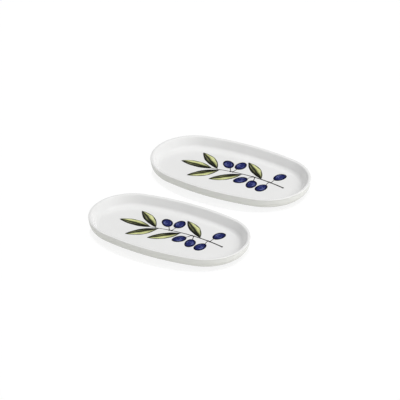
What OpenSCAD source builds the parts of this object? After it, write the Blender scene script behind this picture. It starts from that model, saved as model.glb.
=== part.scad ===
// Pair of oval olive dishes: white glazed ware with an olive spray printed in the well.
// Millimetres, +Z up. The origin lies on the table, midway between the two dishes.

/* [Dish] */
// Length of a dish over its rim
dish_l = 180; // [150:1:220]
// Width of a dish over its rim
dish_w = 103; // [84:1:130]
// Height of a dish over its lip
dish_h = 14; // [12:0.5:24]
// How far the long sides swell out past the radius of the round ends
side_swell = 4.5; // [2:0.25:8]
// Thickness of the wall at its rounded lip
lip_t = 3.4; // [2.4:0.1:4]
// Radius of the lip's outer edge
lip_edge_r = 0.7; // [0.5:0.1:1]
// How far the lip's edge stands out past the outer wall
lip_bead = 0.4; // [0.2:0.05:0.6]
// Radius of the hollow between the lip's edge and the outer wall
lip_hollow_r = 1.2; // [0.8:0.1:2]
// Radius over which the lip rolls into the inner wall
lip_roll_r = 2; // [1.4:0.1:2.4]
// Lean of the outer wall away from upright, in degrees
wall_lean = 3; // [0:1:36]
// Lean of the inner wall away from upright, in degrees
well_lean = 30; // [22:1:34]
// Radius where the outer wall turns under the dish
heel_r = 9; // [2.5:0.5:9.5]
// Radius where the inner wall runs into the floor of the well
well_r = 5; // [4:0.5:9]
// Thickness of the floor between the well and the recessed base
floor_t = 3.1; // [2.2:0.1:6.4]

/* [Foot ring] */
// Height of the foot ring
foot_h = 1.2; // [0.8:0.1:2]
// Width of the foot ring
foot_w = 4; // [2.5:0.5:5]
// Distance of the foot ring inside the turn of the outer wall
foot_setback = 2.8; // [1:0.2:5]
// Height of the band on the foot ring that is wiped bare of glaze
bare_h = 0.6; // [0.3:0.1:0.7]

/* [Glaze and print] */
// Thickness of the glaze coat
glaze_t = 0.3; // [0.2:0.05:0.4]
// Thickness of one printed layer
ink_t = 0.1; // [0.05:0.01:0.2]
// Bare floor left between the print and the curve of the well, at both ends
print_margin = 18; // [8:1:26]
// Distance of the spray behind the middle of the well
spray_back = 6; // [0:1:10]

/* [Olive spray] */
// Length of a leaf
leaf_l = 36; // [28:1:40]
// Width of a leaf
leaf_w = 11; // [7:0.5:12]
// Sideways bow of a leaf
leaf_bow = 1; // [0:0.5:4]
// Length of a leaf's stalk
leaf_stalk = 1.6; // [1:0.2:3]
// Length of an olive
olive_l = 15.5; // [11:0.5:17]
// Width of an olive
olive_w = 11; // [8:0.5:12]
// Length of an olive's stalk
stalk_l = 7; // [6:0.5:10]
// Width of a stalk
stalk_w = 0.8; // [0.5:0.1:1]
// Width of the twig at its cut end
twig_w = 1.6; // [0.9:0.1:1.8]
// Rise of the bowed twig
twig_rise = 5; // [0:0.5:8]
// Radius of the knots on the twig
knot_r = 1.2; // [0.7:0.1:1.3]
// Length of the light stroke on an olive
stroke_l = 7; // [4:0.5:9]
// Width of the light stroke on an olive
stroke_w = 1.6; // [1:0.1:2.4]

/* [Set] */
// Free space between the two dishes, side by side
dish_gap = 33; // [10:0.5:80]

/* [Hidden] */
$fn = 180;

// Colours of the ware and of the printed inks
BISCUIT = [0.87, 0.84, 0.78];
GLAZE = [0.95, 0.95, 0.94];
BARK = [0.22, 0.21, 0.20];
LEAF_DARK = [0.16, 0.18, 0.13];
LEAF_LIGHT = [0.78, 0.80, 0.50];
OLIVE = [0.13, 0.15, 0.38];
OLIVE_LIGHT = [0.36, 0.41, 0.67];

// Steps along an arc of the wall, along one side of a printed outline, and round the oval
ARC_STEPS = 8;
OUTLINE_STEPS = 20;
OVAL_STEPS = 80;

// The rim's outline is an oval of four arcs: end arcs about (+-end_x, 0) and side arcs about (0, +-side_y)
half_l = dish_l / 2;
half_w = dish_w / 2;
end_r = half_w - side_swell;
end_x = half_l - end_r;
side_y = (end_x * end_x - side_swell * side_swell) / (2 * side_swell);
side_r = side_y + half_w;
dish_pitch = dish_w + dish_gap;

// The wall's section, as offsets outward from the rim's outline (x) and heights (y)
floor_z = foot_h + floor_t;
lip_lean = (wall_lean + well_lean) / 2;
lip_flat = (lip_t - lip_edge_r - lip_roll_r + sin(lip_lean) * (lip_roll_r - lip_edge_r)) / cos(lip_lean);
edge_c = [-lip_edge_r, dish_h - lip_edge_r];
roll_c = [edge_c.x - lip_flat, dish_h - lip_roll_r];
bead_gap = lip_edge_r + lip_hollow_r;
hollow_turn = acos(1 - lip_bead / bead_gap);
hollow_c = edge_c + bead_gap * [cos(wall_lean + hollow_turn), -sin(wall_lean + hollow_turn)];
heel_z = foot_h + heel_r;
wall_in = lip_edge_r - lip_bead;
wall_run = (heel_r - wall_in + sin(wall_lean) * (edge_c.y - heel_z)) / cos(wall_lean);
heel_c = [edge_c.x - wall_run, heel_z];
curve_z = floor_z + well_r;
well_run = (well_r + lip_roll_r + sin(well_lean) * (roll_c.y - curve_z)) / cos(well_lean);
curve_c = [roll_c.x - well_run, curve_z];
well_inset = -curve_c.x;

// The swept wall reaches this far inward, and flat plates close the dish inside it
foot_inset = foot_setback - heel_c.x;
foot_in = foot_inset + foot_w;
sweep_in = max(foot_in, well_inset) + foot_w;
plate_in = sweep_in - foot_w / 2;

// Places of the spray: the twig runs along the dish from a cut end to the leaf at its tip
print_l = dish_l - 2 * (well_inset + print_margin);
twig_l = print_l - leaf_l - leaf_stalk;
twig_x = print_l / 2;

// Each leaf: place along the twig from its cut end, as a share, and turn away from the twig
LEAVES = [[1.00, -12], [0.94, -50], [0.90, 34], [0.60, 40], [0.33, -36]];
// Each olive: place along the twig, and the turns of its stalk and of the olive away from the twig
OLIVES = [
    [0.77, -66, -56], [0.74, -108, -100],
    [0.46, 60, 54], [0.43, 108, 102],
    [0.19, -88, -100], [0.22, 98, 86]];
// Light lanes of a leaf: where each begins and ends along it, and its edges as shares of the half width
LIGHT_LANES = [[0.10, 0.92, 0.10, 0.80], [0.34, 0.88, -0.66, -0.30]];
// Share of the twig's width that is left at its tip
TWIG_TAPER = 0.45;

// Points of an arc between two directions, with its first point or without it
function arc(centre, r, from, to, first = 0) =
    [for (i = [first : ARC_STEPS]) let (a = from + (to - from) * i / ARC_STEPS) centre + r * [cos(a), sin(a)]];
function reversed(points) = [for (i = [len(points) - 1 : -1 : 0]) points[i]];

// The glazed surface from the foot ring over the lip to the well, or the surface skin deeper than that
function upper_path(skin) = concat(
    [[-foot_inset - skin, bare_h], [-foot_inset - skin, foot_h + skin]],
    arc(heel_c, heel_r - skin, -90, -wall_lean),
    arc(hollow_c, lip_hollow_r + skin, 180 - wall_lean, 180 - wall_lean - hollow_turn),
    arc(edge_c, lip_edge_r - skin, -wall_lean - hollow_turn, 90, 1),
    arc(roll_c, lip_roll_r - skin, 90, 180 - well_lean),
    arc(curve_c, well_r + skin, -well_lean, -90),
    [[-sweep_in, floor_z - skin]]);

// The glazed surface of the recessed base, from the middle of the dish to the foot ring
function base_path(skin) =
    [[-sweep_in, foot_h + skin], [-foot_in + skin, foot_h + skin], [-foot_in + skin, bare_h]];

function body_section() = concat(
    upper_path(glaze_t),
    base_path(glaze_t),
    [[-foot_in + glaze_t, 0], [-foot_inset - glaze_t, 0]]);
function coat_section(outer, inner) = concat(outer, reversed(inner));

// Point of the rim's outline that faces a direction, moved inward
function oval_point(facing, inset) =
    let (side_facing = atan2(end_x, side_y), from_side = atan2(abs(cos(facing)), abs(sin(facing))))
    from_side < side_facing
        ? [0, -sign(sin(facing)) * side_y] + (side_r - inset) * [cos(facing), sin(facing)]
        : [sign(cos(facing)) * end_x, 0] + (end_r - inset) * [cos(facing), sin(facing)];
function oval(inset) = [for (i = [0 : OVAL_STEPS - 1]) oval_point(360 * i / OVAL_STEPS, inset)];

// Ground that each arc of the outline sweeps over, out past the rim
module end_sector() {
    far_x = 2 * end_x + dish_l;
    polygon([[end_x, 0], [2 * end_x, side_y], [far_x, side_y], [far_x, -side_y], [2 * end_x, -side_y]]);
}

module side_sector() {
    polygon([[0, -side_y], [2 * end_x, side_y], [-2 * end_x, side_y]]);
}

// Moves its children by whole microns and then by the rest, so that neighbouring arcs meet in the same points
module place(v) {
    microns = [for (x = v) round(x * 1000) / 1000];
    translate(microns) translate(v - microns) children();
}

// Turns a wall section about an axis, with the rim's outline at a radius, and keeps what stands on its ground
module turn_round(axis, radius, section) {
    intersection() {
        place(axis) rotate_extrude() place([radius, 0, 0]) polygon(section);
        translate([0, 0, -dish_h]) linear_extrude(3 * dish_h) children();
    }
}

// Carries a wall section round the four arcs of the outline
module sweep_round(section) {
    for (half = [0, 180]) rotate(half) {
        turn_round([end_x, 0, 0], end_r, section) end_sector();
        turn_round([0, -side_y, 0], side_r, section) side_sector();
    }
}

// Flat plate across the middle of the dish
module plate(low, high) {
    translate([0, 0, low]) linear_extrude(high - low) polygon(oval(plate_in));
}

module dish_body() {
    color(BISCUIT) {
        sweep_round(body_section());
        plate(foot_h + glaze_t, floor_z - glaze_t);
    }
}

module dish_glaze() {
    color(GLAZE) {
        sweep_round(coat_section(upper_path(0), upper_path(glaze_t)));
        plate(floor_z - glaze_t, floor_z);
        sweep_round(coat_section(base_path(0), base_path(glaze_t)));
        plate(foot_h, foot_h + glaze_t);
    }
}

// Centre line of the twig, its way there, and its tapering width, by the share along it
function twig_point(share) =
    [twig_x - twig_l * share, spray_back + twig_rise * (4 * share * (1 - share) - 0.5)];
function twig_turn(share) = atan2(twig_rise * 4 * (1 - 2 * share), -twig_l);
function twig_half(share) = twig_w / 2 * (1 - share + TWIG_TAPER * share);

// Middle of a leaf that grows along +X from its base, and its half width, by the share along it
function leaf_mid(share) = [leaf_l * share, leaf_bow * 4 * share * (1 - share)];
function leaf_half(share) = leaf_w / 2 * pow(sin(180 * share), 0.8);

module leaf_outline() {
    polygon([for (side = [1, -1]) for (i = [0 : OUTLINE_STEPS - 1])
        let (share = side > 0 ? i / OUTLINE_STEPS : 1 - i / OUTLINE_STEPS)
        leaf_mid(share) + [0, side * leaf_half(share)]]);
}

// Light stretch of a leaf, from one share of its length to another and between two shares of its half width
module leaf_lane(from, to, low, high) {
    mid = (low + high) / 2;
    reach = (high - low) / 2;
    polygon([for (side = [1, -1]) for (i = [0 : OUTLINE_STEPS - 1])
        let (turn = 180 * i / OUTLINE_STEPS, share = from + (to - from) * (1 - side * cos(turn)) / 2)
        leaf_mid(share) + [0, leaf_half(share) * (mid + side * reach * sqrt(sin(turn)))]]);
}

module ellipse(l, w) {
    polygon([for (i = [0 : 2 * OUTLINE_STEPS - 1])
        let (turn = 180 * i / OUTLINE_STEPS) [l / 2 * cos(turn), w / 2 * sin(turn)]]);
}

// Puts its children at a share along the twig, turned away from it
module on_twig(share, turn) {
    translate(twig_point(share)) rotate(twig_turn(share) + turn) children();
}

// Puts its children at the base of each leaf, turned over on one side so that all bow towards the tip
module at_leaves() {
    for (leaf = LEAVES)
        on_twig(leaf[0], leaf[1]) translate([leaf_stalk, 0]) mirror([0, leaf[1] < 0 ? 1 : 0, 0]) children();
}

// Puts its children at the middle of each olive
module at_olives() {
    for (olive = OLIVES)
        on_twig(olive[0], olive[1]) translate([stalk_l, 0])
            rotate(olive[2] - olive[1]) translate([olive_l / 2, 0]) children();
}

module leaves() {
    at_leaves() leaf_outline();
}

module olives() {
    at_olives() ellipse(olive_l, olive_w);
}

module stalk(length) {
    translate([0, -stalk_w / 2]) square([length, stalk_w]);
}

module twig() {
    shares = [for (i = [0 : OUTLINE_STEPS]) i / OUTLINE_STEPS];
    polygon(concat(
        [for (share = shares) twig_point(share) + [0, twig_half(share)]],
        [for (share = reversed(shares)) twig_point(share) - [0, twig_half(share)]]));
    on_twig(0, 0) circle(knot_r);
    for (leaf = LEAVES) on_twig(leaf[0], leaf[1]) stalk(2 * leaf_stalk);
    for (olive = OLIVES) on_twig(olive[0], olive[1]) {
        circle(knot_r);
        stalk(stalk_l + olive_l / 4);
    }
}

// Prints a flat shape on the floor of the well, on top of the layers that are there already
module print_layer(layer) {
    translate([0, 0, floor_z + layer * ink_t]) linear_extrude(ink_t) children();
}

module twig_print() {
    color(BARK) print_layer(0) difference() {
        twig();
        olives();
    }
}

module leaf_print() {
    color(LEAF_DARK) print_layer(0) difference() {
        leaves();
        twig();
        olives();
    }
}

module leaf_light_print() {
    color(LEAF_LIGHT) print_layer(1) difference() {
        at_leaves() for (lane = LIGHT_LANES) leaf_lane(lane[0], lane[1], lane[2], lane[3]);
        twig();
        olives();
    }
}

module olive_print() {
    color(OLIVE) print_layer(0) olives();
}

module olive_light_print() {
    color(OLIVE_LIGHT) print_layer(1) at_olives() translate([0, olive_w / 4]) ellipse(stroke_l, stroke_w);
}

// The two dishes stand side by side, each half a pitch from the middle
for (dish = ["front", "rear"])
    translate([0, (dish == "front" ? -1 : 1) * dish_pitch / 2, 0]) {
        dish_body();
        dish_glaze();
        twig_print();
        leaf_print();
        leaf_light_print();
        olive_print();
        olive_light_print();
    }
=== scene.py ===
import cmath
import math

import bmesh
import bpy
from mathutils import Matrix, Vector


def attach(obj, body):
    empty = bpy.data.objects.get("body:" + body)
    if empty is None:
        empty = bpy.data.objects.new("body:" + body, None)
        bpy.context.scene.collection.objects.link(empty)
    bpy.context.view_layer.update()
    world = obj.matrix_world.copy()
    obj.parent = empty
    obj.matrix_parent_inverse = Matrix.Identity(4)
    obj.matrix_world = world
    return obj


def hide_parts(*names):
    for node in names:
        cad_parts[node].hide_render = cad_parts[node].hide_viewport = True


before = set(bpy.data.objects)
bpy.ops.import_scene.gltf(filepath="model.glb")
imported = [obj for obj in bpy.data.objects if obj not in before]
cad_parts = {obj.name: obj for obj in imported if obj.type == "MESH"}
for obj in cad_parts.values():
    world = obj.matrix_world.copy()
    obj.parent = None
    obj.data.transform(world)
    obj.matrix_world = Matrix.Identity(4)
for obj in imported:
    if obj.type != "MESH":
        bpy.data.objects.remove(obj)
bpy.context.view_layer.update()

scene = bpy.context.scene
scene.view_settings.view_transform = "Standard"

MM = 0.001

# Sizes of a dish in millimetres, the same as the solids have
DISH_L, DISH_W, DISH_H = 180.0, 103.0, 14.0
SIDE_SWELL = 4.5
LIP_T, LIP_EDGE_R, LIP_ROLL_R = 3.4, 0.7, 2.0
LIP_BEAD, LIP_HOLLOW_R = 0.4, 1.2
WALL_LEAN, WELL_LEAN = 3.0, 30.0
HEEL_R, WELL_R = 9.0, 5.0
FLOOR_T = 3.1
FOOT_H, FOOT_W, FOOT_SETBACK, BARE_H = 1.2, 4.0, 2.8, 0.6
GLAZE_T = 0.3
DISH_PITCH = 136.0
DISHES = {"front": -DISH_PITCH / 2, "rear": DISH_PITCH / 2}

# Finish that the solids leave out: the rounded foot of the ring, and the glaze's pool above it
FOOT_EDGE_R, POOL_R = 0.45, 0.35
# The glaze's rounded lower edge: depth under its face, and rise above the line where it was wiped
WIPED_EDGE = [(GLAZE_T, 0.0), (0.13, 0.03), (0.03, 0.11), (0.0, 0.2)]
# Waves of that line: count in a round, start in radians, height
WIPE_WAVES = [(3, 0.4, 0.035), (7, 1.9, 0.025), (17, 0.0, 0.02)]

# Steps of the meshes: round the outline, and on the arcs of the section at a fineness of 1
END_STEPS, SIDE_STEPS = 88, 68
HEEL_STEPS, HOLLOW_STEPS, EDGE_STEPS, ROLL_STEPS, WELL_STEPS = 5, 2, 4, 3, 4
BODY_FINE, GLAZE_FINE = 2, 5
FOOT_EDGE_STEPS, POOL_STEPS = 5, 4

# The rim's outline, an oval of four arcs
END_R = DISH_W / 2 - SIDE_SWELL
END_X = DISH_L / 2 - END_R
SIDE_Y = (END_X ** 2 - SIDE_SWELL ** 2) / (2 * SIDE_SWELL)
SIDE_R = SIDE_Y + DISH_W / 2
SEAM = math.atan2(SIDE_Y, END_X)


def lean_run(radius, height, lean):
    return (radius + math.sin(math.radians(lean)) * height) / math.cos(math.radians(lean))


# Centres of the wall's arcs, as offsets outward from the rim's outline and heights
FLOOR_Z = FOOT_H + FLOOR_T
LIP_LEAN = (WALL_LEAN + WELL_LEAN) / 2
LIP_FLAT = lean_run(LIP_T - LIP_EDGE_R - LIP_ROLL_R, LIP_ROLL_R - LIP_EDGE_R, LIP_LEAN)
EDGE = (-LIP_EDGE_R, DISH_H - LIP_EDGE_R)
ROLL = (EDGE[0] - LIP_FLAT, DISH_H - LIP_ROLL_R)
BEAD_GAP = LIP_EDGE_R + LIP_HOLLOW_R
HOLLOW_TURN = math.degrees(math.acos(1 - LIP_BEAD / BEAD_GAP))
HOLLOW_WAY = math.radians(WALL_LEAN + HOLLOW_TURN)
HOLLOW = (EDGE[0] + BEAD_GAP * math.cos(HOLLOW_WAY), EDGE[1] - BEAD_GAP * math.sin(HOLLOW_WAY))
HEEL_RUN = lean_run(HEEL_R - LIP_EDGE_R + LIP_BEAD, EDGE[1] - FOOT_H - HEEL_R, WALL_LEAN)
HEEL = (EDGE[0] - HEEL_RUN, FOOT_H + HEEL_R)
WELL_RUN = lean_run(WELL_R + LIP_ROLL_R, ROLL[1] - FLOOR_Z - WELL_R, WELL_LEAN)
CURVE = (ROLL[0] - WELL_RUN, FLOOR_Z + WELL_R)

# Offsets inward of the foot ring's two faces, and of the end of the swept sections
FOOT_OUT = FOOT_SETBACK - HEEL[0]
FOOT_IN = FOOT_OUT + FOOT_W
SWEEP_IN = max(FOOT_IN, -CURVE[0]) + FOOT_W


def facings():
    """Directions that the outline faces, once round from +X, closer together on the tight ends."""
    side = math.pi - 2 * SEAM
    turns = [SEAM * 2 * i / END_STEPS for i in range(END_STEPS // 2)]
    turns += [SEAM + side * i / SIDE_STEPS for i in range(SIDE_STEPS)]
    turns += [math.pi - SEAM + 2 * SEAM * i / END_STEPS for i in range(END_STEPS)]
    turns += [math.pi + SEAM + side * i / SIDE_STEPS for i in range(SIDE_STEPS)]
    turns += [2 * math.pi - SEAM + 2 * SEAM * i / END_STEPS for i in range(END_STEPS // 2)]
    return turns


FACINGS = facings()
ROUND = len(FACINGS)


def outline_point(facing, offset):
    c, s = math.cos(facing), math.sin(facing)
    if math.atan2(abs(s), abs(c)) > SEAM:
        r = SIDE_R + offset
        return r * c, -math.copysign(SIDE_Y, s) + r * s
    r = END_R + offset
    return math.copysign(END_X, c) + r * c, r * s


def arc(centre, radius, start, end, steps):
    angles = [math.radians(start + (end - start) * i / steps) for i in range(steps + 1)]
    return [(centre[0] + radius * math.cos(a), centre[1] + radius * math.sin(a)) for a in angles]


def upper_path(depth, fine):
    """The surface at a depth, from the turn under the wall over the lip to the floor of the well."""
    under = 180 - WALL_LEAN
    heel = arc(HEEL, HEEL_R - depth, -90, -WALL_LEAN, HEEL_STEPS * fine)
    hollow = arc(HOLLOW, LIP_HOLLOW_R + depth, under, under - HOLLOW_TURN, HOLLOW_STEPS * fine)
    edge = arc(EDGE, LIP_EDGE_R - depth, -WALL_LEAN - HOLLOW_TURN, 90, EDGE_STEPS * fine)
    roll = arc(ROLL, LIP_ROLL_R - depth, 90, 180 - WELL_LEAN, ROLL_STEPS * fine)
    well = arc(CURVE, WELL_R + depth, -WELL_LEAN, -90, WELL_STEPS * fine)
    return heel + hollow + edge[1:] + roll + well + [(-SWEEP_IN, FLOOR_Z - depth)]


def wiped_edge(i, face, inward):
    """The glaze's lower edge on a face of the foot ring, at one step round."""
    waver = sum(height * math.sin(count * FACINGS[i] + start) for count, start, height in WIPE_WAVES)
    return [(face + inward * depth, BARE_H + waver + rise) for depth, rise in WIPED_EDGE]


def glaze_upper(i):
    pool = arc((-FOOT_OUT + POOL_R, FOOT_H - POOL_R), POOL_R, 180, 90, POOL_STEPS)
    inner = [(-FOOT_OUT - GLAZE_T, FOOT_H + GLAZE_T)] + upper_path(GLAZE_T, BODY_FINE)
    return inner[::-1] + wiped_edge(i, -FOOT_OUT, -1) + pool + upper_path(0, GLAZE_FINE)


def glaze_base(i):
    pool = arc((-FOOT_IN - POOL_R, FOOT_H - POOL_R), POOL_R, 0, 90, POOL_STEPS)
    inner = [(-SWEEP_IN, FOOT_H + GLAZE_T), (-FOOT_IN + GLAZE_T, FOOT_H + GLAZE_T)]
    return [(-SWEEP_IN, FOOT_H)] + pool[::-1] + wiped_edge(i, -FOOT_IN, 1)[::-1] + inner[::-1]


def body_path():
    outer, inner = -FOOT_OUT - GLAZE_T, -FOOT_IN + GLAZE_T
    top = FOOT_H + GLAZE_T
    foot = arc((inner + FOOT_EDGE_R, FOOT_EDGE_R), FOOT_EDGE_R, 180, 270, FOOT_EDGE_STEPS)
    foot += arc((outer - FOOT_EDGE_R, FOOT_EDGE_R), FOOT_EDGE_R, 270, 360, FOOT_EDGE_STEPS)
    return [(-SWEEP_IN, top), (inner, top)] + foot + [(outer, top)] + upper_path(GLAZE_T, BODY_FINE)


def loops_to_mesh(name, shells):
    """Closed shells round the dish. Each is a section path that starts and ends near the dish's middle,
    or a function that gives the path at each step round."""
    verts, faces = [], []
    for path in shells:
        first = len(verts)
        for i, facing in enumerate(FACINGS):
            for offset, z in path(i) if callable(path) else path:
                x, y = outline_point(facing, offset)
                verts.append((x * MM, y * MM, z * MM))
        count = (len(verts) - first) // ROUND
        for i in range(ROUND):
            a, b = first + i * count, first + (i + 1) % ROUND * count
            for k in range(count - 1):
                faces.append((a + k, b + k, b + k + 1, a + k + 1))
        for end, flip in ((0, True), (count - 1, False)):
            for i in range(ROUND // 2):
                ring = [i, i + 1, (ROUND - i - 1) % ROUND, (ROUND - i) % ROUND]
                if ring[0] == ring[3]:
                    ring.pop()
                if ring[1] == ring[2]:
                    ring.pop(2)
                quad = [first + r * count + end for r in ring]
                faces.append(tuple(quad[::-1] if flip else quad))
    mesh = bpy.data.meshes.new(name)
    mesh.from_pydata(verts, [], faces)
    mesh.validate()
    mesh.shade_smooth()
    return mesh


def add(name, mesh, dish, material, slot, *nodes):
    """Moves a mesh from the middle to its dish, and makes it a piece there."""
    for v in mesh.vertices:
        v.co.y += DISHES[dish] * MM
    obj = bpy.data.objects.new(name, mesh)
    scene.collection.objects.link(obj)
    mesh.materials.append(material)
    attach(obj, f"{dish}_dish")
    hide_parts(*nodes)


# Materials
WHITE = (1.0, 1.0, 1.0, 1.0)
# Where most of a noise's values lie
NOISE_LOW, NOISE_HIGH = 0.3, 0.7
# What the meshes of the inks hold at each point
READS = ("along", "across", "tone")


def grey(value):
    return value, value, value


class Look:
    """The nodes of a material or world, and short ways to add to them."""

    def __init__(self, owner):
        owner.use_nodes = True
        self.owner = owner
        self.nodes, self.links = owner.node_tree.nodes, owner.node_tree.links

    def fill(self, node, sockets):
        """Sets numbers and colours on a node's sockets, and links other nodes' outputs to them."""
        for name, value in sockets.items():
            if isinstance(value, bpy.types.NodeSocket):
                self.links.new(value, node.inputs[name])
            else:
                node.inputs[name].default_value = value

    def node(self, kind, sockets, **settings):
        made = self.nodes.new(kind)
        for name, value in settings.items():
            setattr(made, name, value)
        self.fill(made, sockets)
        return made

    def principled(self, sockets):
        self.fill(self.nodes["Principled BSDF"], sockets)
        return self.owner

    def coords(self):
        return self.nodes.new("ShaderNodeTexCoord").outputs["Object"]

    def read(self, name):
        return self.node("ShaderNodeAttribute", {}, attribute_name=name).outputs["Fac"]

    def spot(self):
        """The place on a patch of ink, from what its mesh holds."""
        reads = {axis: self.read(name) for axis, name in enumerate(READS)}
        return self.node("ShaderNodeCombineXYZ", reads).outputs[0]

    def stretched(self, vector, scale):
        return self.node("ShaderNodeMapping", {"Vector": vector, "Scale": scale}).outputs[0]

    def noise(self, vector, scale, detail=2.0, rough=0.5):
        sockets = {"Vector": vector, "Scale": scale, "Detail": detail, "Roughness": rough}
        return self.node("ShaderNodeTexNoise", sockets).outputs["Fac"]

    def spread(self, value, low, high, out_low, out_high):
        sockets = {"Value": value, "From Min": low, "From Max": high,
                   "To Min": out_low, "To Max": out_high}
        return self.node("ShaderNodeMapRange", sockets).outputs["Result"]

    def maths(self, operation, *values):
        return self.node("ShaderNodeMath", dict(enumerate(values)), operation=operation).outputs[0]

    def ramp(self, value, stops):
        node = self.node("ShaderNodeValToRGB", {"Fac": value})
        elements = node.color_ramp.elements
        while len(elements) < len(stops):
            elements.new(0.5)
        for element, (place, colour) in zip(elements, stops):
            element.position = place
            element.color = (*colour, 1.0)
        return node.outputs["Color"]

    def shade(self, value, stops):
        return self.ramp(value, [(place, grey(tone)) for place, tone in stops])

    def grain(self, noise, low, high):
        return self.ramp(noise, [(NOISE_LOW, low), (NOISE_HIGH, high)])

    def times(self, first, *others):
        """Colours multiplied. The sockets 6 and 7 of a mix of colours are its two colours."""
        for other in others:
            mix = self.node("ShaderNodeMix", {}, data_type="RGBA", blend_type="MULTIPLY")
            self.fill(mix, {"Factor": 1.0, 6: first, 7: other})
            first = mix.outputs[2]
        return first

    def bump(self, height, strength, distance):
        sockets = {"Height": height, "Strength": strength, "Distance": distance}
        return self.node("ShaderNodeBump", sockets).outputs["Normal"]

    def mixed(self, factor, first, second):
        return self.node("ShaderNodeMixShader", {"Fac": factor, 1: first, 2: second}).outputs[0]


# Sizes of noise are in cells to a metre
GLAZE_IOR, GLAZE_ROUGH = 1.52, (0.07, 0.13)
CLOUD_SCALE, PATCH_SCALE = 45.0, 120.0
PEEL_SCALE, PEEL_STRENGTH, PEEL_HEIGHT = 420.0, 0.09, 0.00006
CLAY_IOR, CLAY_ROUGH = 1.5, 0.85
CLAY_SCALE, CLAY_STRENGTH, CLAY_HEIGHT = 2600.0, 0.5, 0.00008


def glaze_material():
    """White glaze, faintly cloudy, with a faint orange peel."""
    look = Look(bpy.data.materials.new("white_glaze"))
    coords = look.coords()
    cloud = look.noise(coords, CLOUD_SCALE, 3.0)
    patches = look.noise(coords, PATCH_SCALE)
    peel = look.noise(coords, PEEL_SCALE, 1.0)
    return look.principled({
        "IOR": GLAZE_IOR,
        "Base Color": look.grain(cloud, (0.852, 0.852, 0.845), (0.872, 0.872, 0.868)),
        "Roughness": look.spread(patches, NOISE_LOW, NOISE_HIGH, *GLAZE_ROUGH),
        "Normal": look.bump(peel, PEEL_STRENGTH, PEEL_HEIGHT),
    })


def biscuit_material():
    """Bare fired clay, matt and grainy."""
    look = Look(bpy.data.materials.new("bare_biscuit"))
    grain = look.noise(look.coords(), CLAY_SCALE, 3.0, 0.7)
    return look.principled({
        "IOR": CLAY_IOR,
        "Roughness": CLAY_ROUGH,
        "Base Color": look.grain(grain, (0.60, 0.54, 0.45), (0.76, 0.71, 0.62)),
        "Normal": look.bump(grain, CLAY_STRENGTH, CLAY_HEIGHT),
    })


GLAZE = glaze_material()
BISCUIT = biscuit_material()

for dish in DISHES:
    glaze = loops_to_mesh(f"{dish}_glaze_coat", [glaze_upper, glaze_base])
    body = loops_to_mesh(f"{dish}_biscuit", [body_path()])
    add(f"{dish}_glaze_coat", glaze, dish, GLAZE, "white_glaze", f"{dish}_dish_glaze")
    add(f"{dish}_biscuit", body, dish, BISCUIT, "biscuit", f"{dish}_dish_body")


# The olive spray in millimetres, laid out as the printed solids are
PRINT_MARGIN, SPRAY_BACK = 18.0, 6.0
LEAF_L, LEAF_W, LEAF_BOW, LEAF_STALK = 36.0, 11.0, 1.0, 1.6
LEAF_FULLNESS = 0.8
OLIVE_L, OLIVE_W, STALK_L = 15.5, 11.0, 7.0
TWIG_RISE = 5.0
PRINT_L = DISH_L - 2 * (PRINT_MARGIN - CURVE[0])
TWIG_L = PRINT_L - LEAF_L - LEAF_STALK
# Each leaf: share along the twig from its cut end, and turn away from the twig in degrees
LEAVES = [(1.00, -12), (0.94, -50), (0.90, 34), (0.60, 40), (0.33, -36)]
# Each olive: share along the twig, and the turns of its stalk and of the olive
OLIVES = [(0.77, -66, -56), (0.74, -108, -100), (0.46, 60, 54),
          (0.43, 108, 102), (0.19, -88, -100), (0.22, 98, 86)]
# Light lanes of a leaf: where each begins and ends along it, and its edges as shares of the half width
LIGHT_LANES = [(0.09, 0.93, 0.06, 0.84), (0.36, 0.88, -0.6, -0.34)]
# Light strokes of an olive: share of its radius, first and last turn round it, half width
OLIVE_STROKES = [(0.50, 20, 150, 0.75), (0.60, 205, 285, 0.4),
                 (0.22, 60, 215, 0.4), (0.74, 50, 110, 0.25)]
# The small spot of light on an olive: share of its radius, turn, radius
OLIVE_SPOT = (0.46, 52, 0.5)
# Thicknesses of the inks
LEAF_T, OLIVE_T, LIGHT_T, SPOT_T = 0.07, 0.1, 0.1, 0.05

# Unevenness of the inks. Waves of a leaf's edge: share of the half width, radians along the leaf, and
# radians from leaf to leaf
LEAF_WAVES = [(0.03, 9, 2.1), (0.015, 21, 1)]
LEAF_BLEED = 0.06
# A light lane: share of its width at its ends, and its waver, with radians as above
LANE_TIP = 0.03
LANE_WAVER, LANE_WAVES, LANE_SHIFT = 0.06, 17, 3
# An olive's outline: its size and waver as shares of the radius, and the count of waves round it
OLIVE_SWELL, OLIVE_WAVER, OLIVE_WAVES = 1.05, 0.02, 3
# A stroke on an olive: share of its width at its ends, and its turn in degrees, which differs by olive
STROKE_TIP = 0.08
STROKE_TURN, STROKE_SHIFT = 12, 2.3
# What is added to an ink's tone on the second lane of a leaf and on the spot of an olive
LANE_TONE, SPOT_TONE = 0.5, 0.75
# Steps along and across a patch of ink
LEAF_STEPS, LANE_STEPS = (36, 10), (30, 6)
OLIVE_STEPS, STROKE_STEPS, SPOT_STEPS = (14, 14), (18, 4), (4, 4)


def twig_point(share):
    rise = TWIG_RISE * (4 * share * (1 - share) - 0.5)
    return complex(PRINT_L / 2 - TWIG_L * share, SPRAY_BACK + rise)


def heading(share, turn):
    along = math.atan2(4 * TWIG_RISE * (1 - 2 * share), -TWIG_L)
    return cmath.rect(1.0, along + math.radians(turn))


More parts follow.
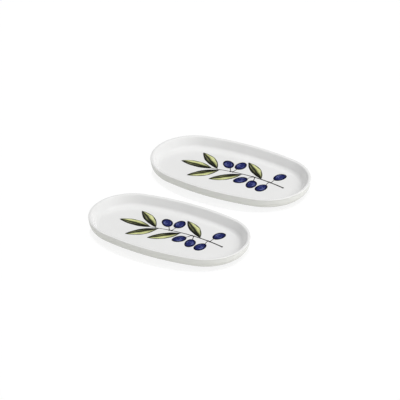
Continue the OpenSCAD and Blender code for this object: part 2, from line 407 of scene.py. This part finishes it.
def leaf_spot(leaf, share, across):
    """Place on a leaf: share along it, and share of its half width, positive away from the twig."""
    at, turn = LEAVES[leaf]
    wobble = 1 + sum(size * math.sin(waves * share + shift * leaf) for size, waves, shift in LEAF_WAVES)
    width = LEAF_W * max(0.0, math.sin(math.pi * share)) ** LEAF_FULLNESS
    half = width / 2 * wobble + LEAF_BLEED
    bow = 4 * LEAF_BOW * share * (1 - share)
    side = 1 if turn > 0 else -1
    place = complex(LEAF_STALK + LEAF_L * share, side * (bow + half * across))
    return twig_point(at) + heading(at, turn) * place


def olive_spot(olive, along, across):
    """Place on an olive, as shares of its half length and half width."""
    at, stalk_turn, turn = OLIVES[olive]
    way = heading(at, turn)
    middle = twig_point(at) + STALK_L * heading(at, stalk_turn) + OLIVE_L / 2 * way
    return middle + way * complex(along * OLIVE_L / 2, across * OLIVE_W / 2)


class Ink:
    """Thin closed patches of ink in one mesh, and what their material reads at each point."""

    def __init__(self):
        self.verts, self.faces = [], []
        self.reads = {name: [] for name in READS}

    def point(self, spot, z, *reads):
        self.verts.append((spot.real * MM, spot.imag * MM, z * MM))
        for values, value in zip(self.reads.values(), reads):
            values.append(value)

    def patch(self, shape, steps, low, high, tone):
        """A patch. Its shape gives a place and the shares along and across for s and t from -1 to 1."""
        steps_s, steps_t = steps
        columns = steps_t + 1
        first = len(self.verts)
        spots = [shape(2 * i / steps_s - 1, 2 * j / steps_t - 1)
                 for i in range(steps_s + 1) for j in range(columns)]
        for spot, along, across in spots:
            self.point(spot, high, along, across, tone)
        for i in range(steps_s):
            for j in range(steps_t):
                a = first + i * columns + j
                self.faces.append((a, a + columns, a + columns + 1, a + 1))
        rim = [i * columns for i in range(steps_s)]
        rim += [steps_s * columns + j for j in range(steps_t)]
        rim += [i * columns + steps_t for i in range(steps_s, 0, -1)]
        rim += list(range(steps_t, 0, -1))
        under = len(self.verts)
        for k in rim:
            spot, along, across = spots[k]
            self.point(spot, low, along, across, tone)
        count = len(rim)
        for k in range(count):
            n = (k + 1) % count
            self.faces.append((first + rim[n], first + rim[k], under + k, under + n))
        self.faces.append(tuple(under + k for k in range(count - 1, -1, -1)))

    def mesh(self, name):
        mesh = bpy.data.meshes.new(name)
        mesh.from_pydata(self.verts, [], self.faces)
        for read, values in self.reads.items():
            mesh.attributes.new(read, "FLOAT", "POINT").data.foreach_set("value", values)
        work = bmesh.new()
        work.from_mesh(mesh)
        bmesh.ops.recalc_face_normals(work, faces=work.faces)
        work.to_mesh(mesh)
        work.free()
        return mesh


def leaf_grounds():
    ink = Ink()
    for leaf in range(len(LEAVES)):
        def shape(s, t):
            share = (s + 1) / 2
            return leaf_spot(leaf, share, t), share, t
        ink.patch(shape, LEAF_STEPS, FLOOR_Z, FLOOR_Z + LEAF_T, leaf)
    return ink


def leaf_lights():
    ink = Ink()
    low = FLOOR_Z + LEAF_T
    for leaf in range(len(LEAVES)):
        for lane, (start, end, inner, outer) in enumerate(LIGHT_LANES):
            def shape(s, t):
                share = start + (end - start) * (s + 1) / 2
                reach = LANE_TIP + (1 - LANE_TIP) * math.sqrt(max(0.0, 1 - s * s))
                waver = LANE_WAVER * math.sin(LANE_WAVES * share + LANE_SHIFT * leaf + t)
                across = (inner + outer) / 2 + ((outer - inner) / 2 * t + waver) * reach
                return leaf_spot(leaf, share, across), (s + 1) / 2, t
            ink.patch(shape, LANE_STEPS, low, low + LIGHT_T, leaf + LANE_TONE * lane)
    return ink


def disc(s, t):
    return s * math.sqrt(1 - t * t / 2), t * math.sqrt(1 - s * s / 2)


def olive_grounds():
    ink = Ink()
    for olive in range(len(OLIVES)):
        def shape(s, t):
            x, y = disc(s, t)
            swell = OLIVE_SWELL + OLIVE_WAVER * math.sin(OLIVE_WAVES * math.atan2(y, x) + olive)
            return olive_spot(olive, x * swell, y * swell), x, y
        ink.patch(shape, OLIVE_STEPS, FLOOR_Z, FLOOR_Z + OLIVE_T, olive)
    return ink


def olive_lights():
    ink = Ink()
    low = FLOOR_Z + OLIVE_T
    for olive in range(len(OLIVES)):
        shift = STROKE_TURN * math.sin(STROKE_SHIFT * olive)
        for radius, start, end, half in OLIVE_STROKES:
            def stroke(s, t):
                turn = math.radians(start + (end - start) * (s + 1) / 2 + shift)
                width = half * (STROKE_TIP + (1 - STROKE_TIP) * (1 - s * s))
                out = radius + t * width / (OLIVE_W / 2)
                return olive_spot(olive, out * math.cos(turn), out * math.sin(turn)), (s + 1) / 2, t
            ink.patch(stroke, STROKE_STEPS, low, low + LIGHT_T, olive)
        out, start, size = OLIVE_SPOT
        turn = math.radians(start + shift)

        def light(s, t):
            x, y = disc(s, t)
            along = out * math.cos(turn) + x * size / (OLIVE_L / 2)
            across = out * math.sin(turn) + y * size / (OLIVE_W / 2)
            return olive_spot(olive, along, across), 0.5, 0.0
        ink.patch(light, SPOT_STEPS, low + LIGHT_T, low + LIGHT_T + SPOT_T, olive + SPOT_TONE)
    return ink


# Inks
INK_IOR, INK_ROUGH, INK_GLOSS = 1.5, 0.25, 0.16
# How far apart the noise of one leaf or olive is from that of the next
INK_APART = 3.7
# How the streaks of an ink are stretched along and across its patches, and along and across the dish
LEAF_STREAKS, LEAF_HATCH = (4.0, 9.0, INK_APART), (26.0, 2.2, INK_APART)
OLIVE_STREAKS, LIGHT_STREAKS = (1.6, 5.5, INK_APART), (5.0, 1.5, INK_APART)
BARK_STREAKS, BARK_SCALE = (1.0, 3.0, 1.0), 700.0


def ink_material(look, colour):
    return look.principled({"IOR": INK_IOR, "Roughness": INK_ROUGH, "Specular IOR Level": INK_GLOSS,
                            "Base Color": colour})


def leaf_dark_ink():
    look = Look(bpy.data.materials.new("leaf_dark_ink"))
    width = look.spread(look.read("across"), -1, 1, 0, 1)
    colour = look.ramp(width, [
        (0.0, (0.01, 0.011, 0.008)), (0.1, (0.018, 0.02, 0.015)), (0.38, (0.042, 0.044, 0.03)),
        (0.49, (0.016, 0.018, 0.012)), (0.56, (0.12, 0.13, 0.055)), (0.86, (0.16, 0.175, 0.075)),
        (0.93, (0.02, 0.022, 0.015)), (1.0, (0.012, 0.014, 0.01))])
    fade = look.shade(look.read("along"), [
        (0.0, 0.2), (0.22, 0.45), (0.5, 1.0), (0.86, 1.0), (1.0, 0.3)])
    streaks = look.noise(look.stretched(look.spot(), LEAF_STREAKS), 3.0, 3.0)
    return ink_material(look, look.times(colour, fade, look.grain(streaks, grey(0.55), grey(1.3))))


def leaf_light_ink():
    look = Look(bpy.data.materials.new("leaf_light_ink"))
    width = look.spread(look.read("across"), -1, 1, 0, 1)
    colour = look.ramp(width, [
        (0.0, (0.16, 0.17, 0.07)), (0.16, (0.42, 0.45, 0.19)), (0.42, (0.75, 0.775, 0.36)),
        (0.82, (0.77, 0.79, 0.4)), (1.0, (0.48, 0.51, 0.22))])
    fade = look.shade(look.read("along"), [
        (0.0, 0.3), (0.2, 0.7), (0.45, 1.0), (0.85, 1.0), (1.0, 0.55)])
    hatch = look.noise(look.stretched(look.spot(), LEAF_HATCH), 1.6, 2.0)
    hatch = look.shade(hatch, [(0.34, 0.66), (0.5, 1.0)])
    lane = look.maths("FRACT", look.read("tone"))
    lane = look.shade(lane, [(0.2, 1.0), (0.4, 0.28)])
    return ink_material(look, look.times(colour, fade, hatch, lane))


def olive_ink():
    look = Look(bpy.data.materials.new("olive_ink"))
    spot = look.spot()
    flat = look.stretched(spot, (1.0, 1.0, 0.0))
    out = look.node("ShaderNodeVectorMath", {0: flat}, operation="LENGTH").outputs["Value"]
    colour = look.ramp(out, [
        (0.0, (0.021, 0.028, 0.14)), (0.55, (0.016, 0.022, 0.115)), (0.76, (0.008, 0.011, 0.065)),
        (0.88, (0.004, 0.005, 0.022)), (1.0, (0.003, 0.004, 0.012))])
    streaks = look.noise(look.stretched(spot, OLIVE_STREAKS), 2.2, 3.0)
    return ink_material(look, look.times(colour, look.grain(streaks, grey(0.5), grey(1.6))))


def olive_light_ink():
    look = Look(bpy.data.materials.new("olive_light_ink"))
    width = look.spread(look.read("across"), -1, 1, 0, 1)
    colour = look.ramp(width, [
        (0.0, (0.025, 0.033, 0.14)), (0.3, (0.075, 0.095, 0.28)), (0.55, (0.16, 0.19, 0.41)),
        (1.0, (0.04, 0.05, 0.18))])
    streaks = look.noise(look.stretched(look.spot(), LIGHT_STREAKS), 2.5, 2.0)
    return ink_material(look, look.times(colour, look.grain(streaks, grey(0.7), grey(1.3))))


def bark_ink():
    look = Look(bpy.data.materials.new("bark_ink"))
    grain = look.noise(look.stretched(look.coords(), BARK_STREAKS), BARK_SCALE, 3.0)
    return ink_material(look, look.grain(grain, (0.014, 0.0135, 0.0125), (0.045, 0.043, 0.04)))


BARK = bark_ink()
PRINTS = {
    "leaf_grounds": (leaf_grounds, leaf_dark_ink(), "leaf_dark_ink", "leaf_print"),
    "leaf_lights": (leaf_lights, leaf_light_ink(), "leaf_light_ink", "leaf_light_print"),
    "olive_grounds": (olive_grounds, olive_ink(), "olive_ink", "olive_print"),
    "olive_lights": (olive_lights, olive_light_ink(), "olive_light_ink", "olive_light_print"),
}
for dish in DISHES:
    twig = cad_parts[f"{dish}_twig_print"].data
    twig.materials.clear()
    twig.materials.append(BARK)
    for piece, (draw, ink, slot, node) in PRINTS.items():
        add(f"{dish}_{piece}", draw().mesh(f"{dish}_{piece}"), dish, ink, slot, f"{dish}_{node}")

# Camera
AIM = Vector((-0.00006, -0.00003, 0.0099))
AZIMUTH, ELEVATION = math.radians(28.3), math.radians(31.0)
LENS, SENSOR, FRAME_WIDTH = 800.0, 36.0, 0.4205
CLIP_START, CLIP_END = 0.1, 100.0


def add_camera():
    data = bpy.data.cameras.new("camera")
    data.lens = LENS
    data.sensor_width = SENSOR
    data.clip_start, data.clip_end = CLIP_START, CLIP_END
    level = math.cos(ELEVATION)
    back = Vector((math.sin(AZIMUTH) * level, -math.cos(AZIMUTH) * level, math.sin(ELEVATION)))
    camera = bpy.data.objects.new("camera", data)
    scene.collection.objects.link(camera)
    camera.location = AIM + back * (FRAME_WIDTH * LENS / SENSOR)
    camera.rotation_mode = "QUATERNION"
    camera.rotation_quaternion = (-back).to_track_quat("-Z", "Y")
    scene.camera = camera


add_camera()

# Floor
FLOOR_HALF = 12.0
FLOOR_WHITE, FLOOR_SHADE, FLOOR_GLOSS = 1.006, 0.012, 0.135
# Colours of the floor as it lights the dishes, and as it takes their shadow
FLOOR_BOUNCE, FLOOR_PAPER = (0.75, 0.755, 0.694, 1.0), (0.98, 0.98, 0.98, 1.0)
# Reach of the floor's mirror from the middle of a dish, along and across, and how square its outline is
MIRROR_X, MIRROR_Y, MIRROR_POWER = 0.088, 0.0585, 2.25
# Where the mirror's edge begins and ends, as shares of its reach
MIRROR_FULL, MIRROR_GONE = 0.96, 1.04


def seen_plainly(look):
    """1 for rays that show the white surroundings: from the camera, in gloss and through glass."""
    path = look.nodes.new("ShaderNodeLightPath").outputs
    either = look.maths("MAXIMUM", path["Is Camera Ray"], path["Is Glossy Ray"])
    return look.maths("MAXIMUM", either, path["Is Transmission Ray"])


def floor_gloss(look):
    """Strength of the mirror: full round each dish, and gone a little way out from it."""
    split = look.node("ShaderNodeSeparateXYZ", {0: look.coords()}).outputs
    x = look.maths("ABSOLUTE", split["X"])
    y = look.maths("SUBTRACT", look.maths("ABSOLUTE", split["Y"]), DISH_PITCH / 2 * MM)
    y = look.maths("ABSOLUTE", y)
    x = look.maths("POWER", look.maths("DIVIDE", x, MIRROR_X), MIRROR_POWER)
    y = look.maths("POWER", look.maths("DIVIDE", y, MIRROR_Y), MIRROR_POWER)
    return look.spread(look.maths("ADD", x, y), MIRROR_FULL, MIRROR_GONE, FLOOR_GLOSS, 0.0)


def floor_material():
    look = Look(bpy.data.materials.new("white_floor"))
    look.nodes.clear()
    plain = look.node("ShaderNodeBsdfDiffuse", {"Color": FLOOR_BOUNCE}).outputs[0]
    shade = look.node("ShaderNodeBsdfDiffuse", {"Color": FLOOR_PAPER}).outputs[0]
    white = look.node("ShaderNodeEmission", {"Color": WHITE, "Strength": FLOOR_WHITE}).outputs[0]
    gloss = look.node("ShaderNodeBsdfGlossy", {"Color": WHITE, "Roughness": 0.0}).outputs[0]
    lit = look.mixed(floor_gloss(look), look.mixed(FLOOR_SHADE, white, shade), gloss)
    look.node("ShaderNodeOutputMaterial", {"Surface": look.mixed(seen_plainly(look), plain, lit)})
    return look.owner


def add_stage_mesh(name, material, verts, faces):
    mesh = bpy.data.meshes.new(name)
    mesh.from_pydata(verts, [], faces)
    mesh.materials.append(material)
    obj = bpy.data.objects.new(name, mesh)
    scene.collection.objects.link(obj)
    return obj


def square(half, z):
    return [(x * half, y * half, z) for x, y in ((-1, -1), (1, -1), (1, 1), (-1, 1))]


floor = add_stage_mesh("floor", floor_material(), square(FLOOR_HALF, 0), [(0, 1, 2, 3)])

# Screens that show only in the glaze's gloss, and not in the floor's mirror: a dark one stands round the
# studio, between two heights in degrees, and a lighter one lies on the floor
SCREEN_R, SCREEN_LOW, SCREEN_HIGH, SCREEN_TONE = 5.0, 2.5, 55.0, 0.06
SCREEN_SIDES = 48
CARD_HALF, CARD_Z, CARD_TONE = 0.8, 0.0002, 0.75


def screen_material(name, tone):
    look = Look(bpy.data.materials.new(name))
    look.nodes.clear()
    dark = look.node("ShaderNodeEmission", {"Color": (*grey(tone), 1.0)}).outputs[0]
    clear = look.nodes.new("ShaderNodeBsdfTransparent").outputs[0]
    mirrored = look.nodes.new("ShaderNodeLightPath").outputs["Is Singular Ray"]
    look.node("ShaderNodeOutputMaterial", {"Surface": look.mixed(mirrored, dark, clear)})
    return look.owner


def add_screen(name, tone, verts, faces):
    screen = add_stage_mesh(name, screen_material(name, tone), verts, faces)
    screen.visible_camera = False
    screen.visible_diffuse = False
    screen.visible_shadow = False
    screen.visible_transmission = False


def ring_point(side, tilt):
    turn = 2 * math.pi * side / SCREEN_SIDES
    height = math.tan(math.radians(tilt))
    return SCREEN_R * math.cos(turn), SCREEN_R * math.sin(turn), SCREEN_R * height


ring = [ring_point(i, tilt) for i in range(SCREEN_SIDES) for tilt in (SCREEN_LOW, SCREEN_HIGH)]
ring_faces = [(k, (k + 2) % len(ring), (k + 3) % len(ring), k + 1) for k in range(0, len(ring), 2)]
add_screen("dark_screen", SCREEN_TONE, ring, ring_faces)
add_screen("dark_card", CARD_TONE, square(CARD_HALF, CARD_Z), [(0, 1, 2, 3)])

# Light
AMBIENT = 0.576
LAMP_SIZE = 1.6
# Each lamp: its place in metres and its power
LAMPS = {"key": ((1.41, 0.2, 1.6), 24.8), "top": ((0.2, 0.2, 2.0), 4.2)}


def studio_world():
    scene.world = bpy.data.worlds.new("studio")
    look = Look(scene.world)
    look.nodes.clear()
    white = look.node("ShaderNodeBackground", {"Color": WHITE}).outputs[0]
    soft = look.node("ShaderNodeBackground", {"Color": WHITE, "Strength": AMBIENT}).outputs[0]
    look.node("ShaderNodeOutputWorld", {"Surface": look.mixed(seen_plainly(look), soft, white)})


def softbox(name, place, power):
    """A square lamp that faces the middle of the part, and stays out of the gloss."""
    data = bpy.data.lights.new(name, "AREA")
    data.shape = "RECTANGLE"
    data.size, data.size_y = LAMP_SIZE, LAMP_SIZE
    data.energy = power
    lamp = bpy.data.objects.new(name, data)
    scene.collection.objects.link(lamp)
    lamp.location = place
    lamp.rotation_mode = "QUATERNION"
    lamp.rotation_quaternion = (-Vector(place)).to_track_quat("-Z", "Y")
    lamp.visible_camera = False
    lamp.visible_glossy = False


studio_world()
for name, (place, power) in LAMPS.items():
    softbox(name, place, power)
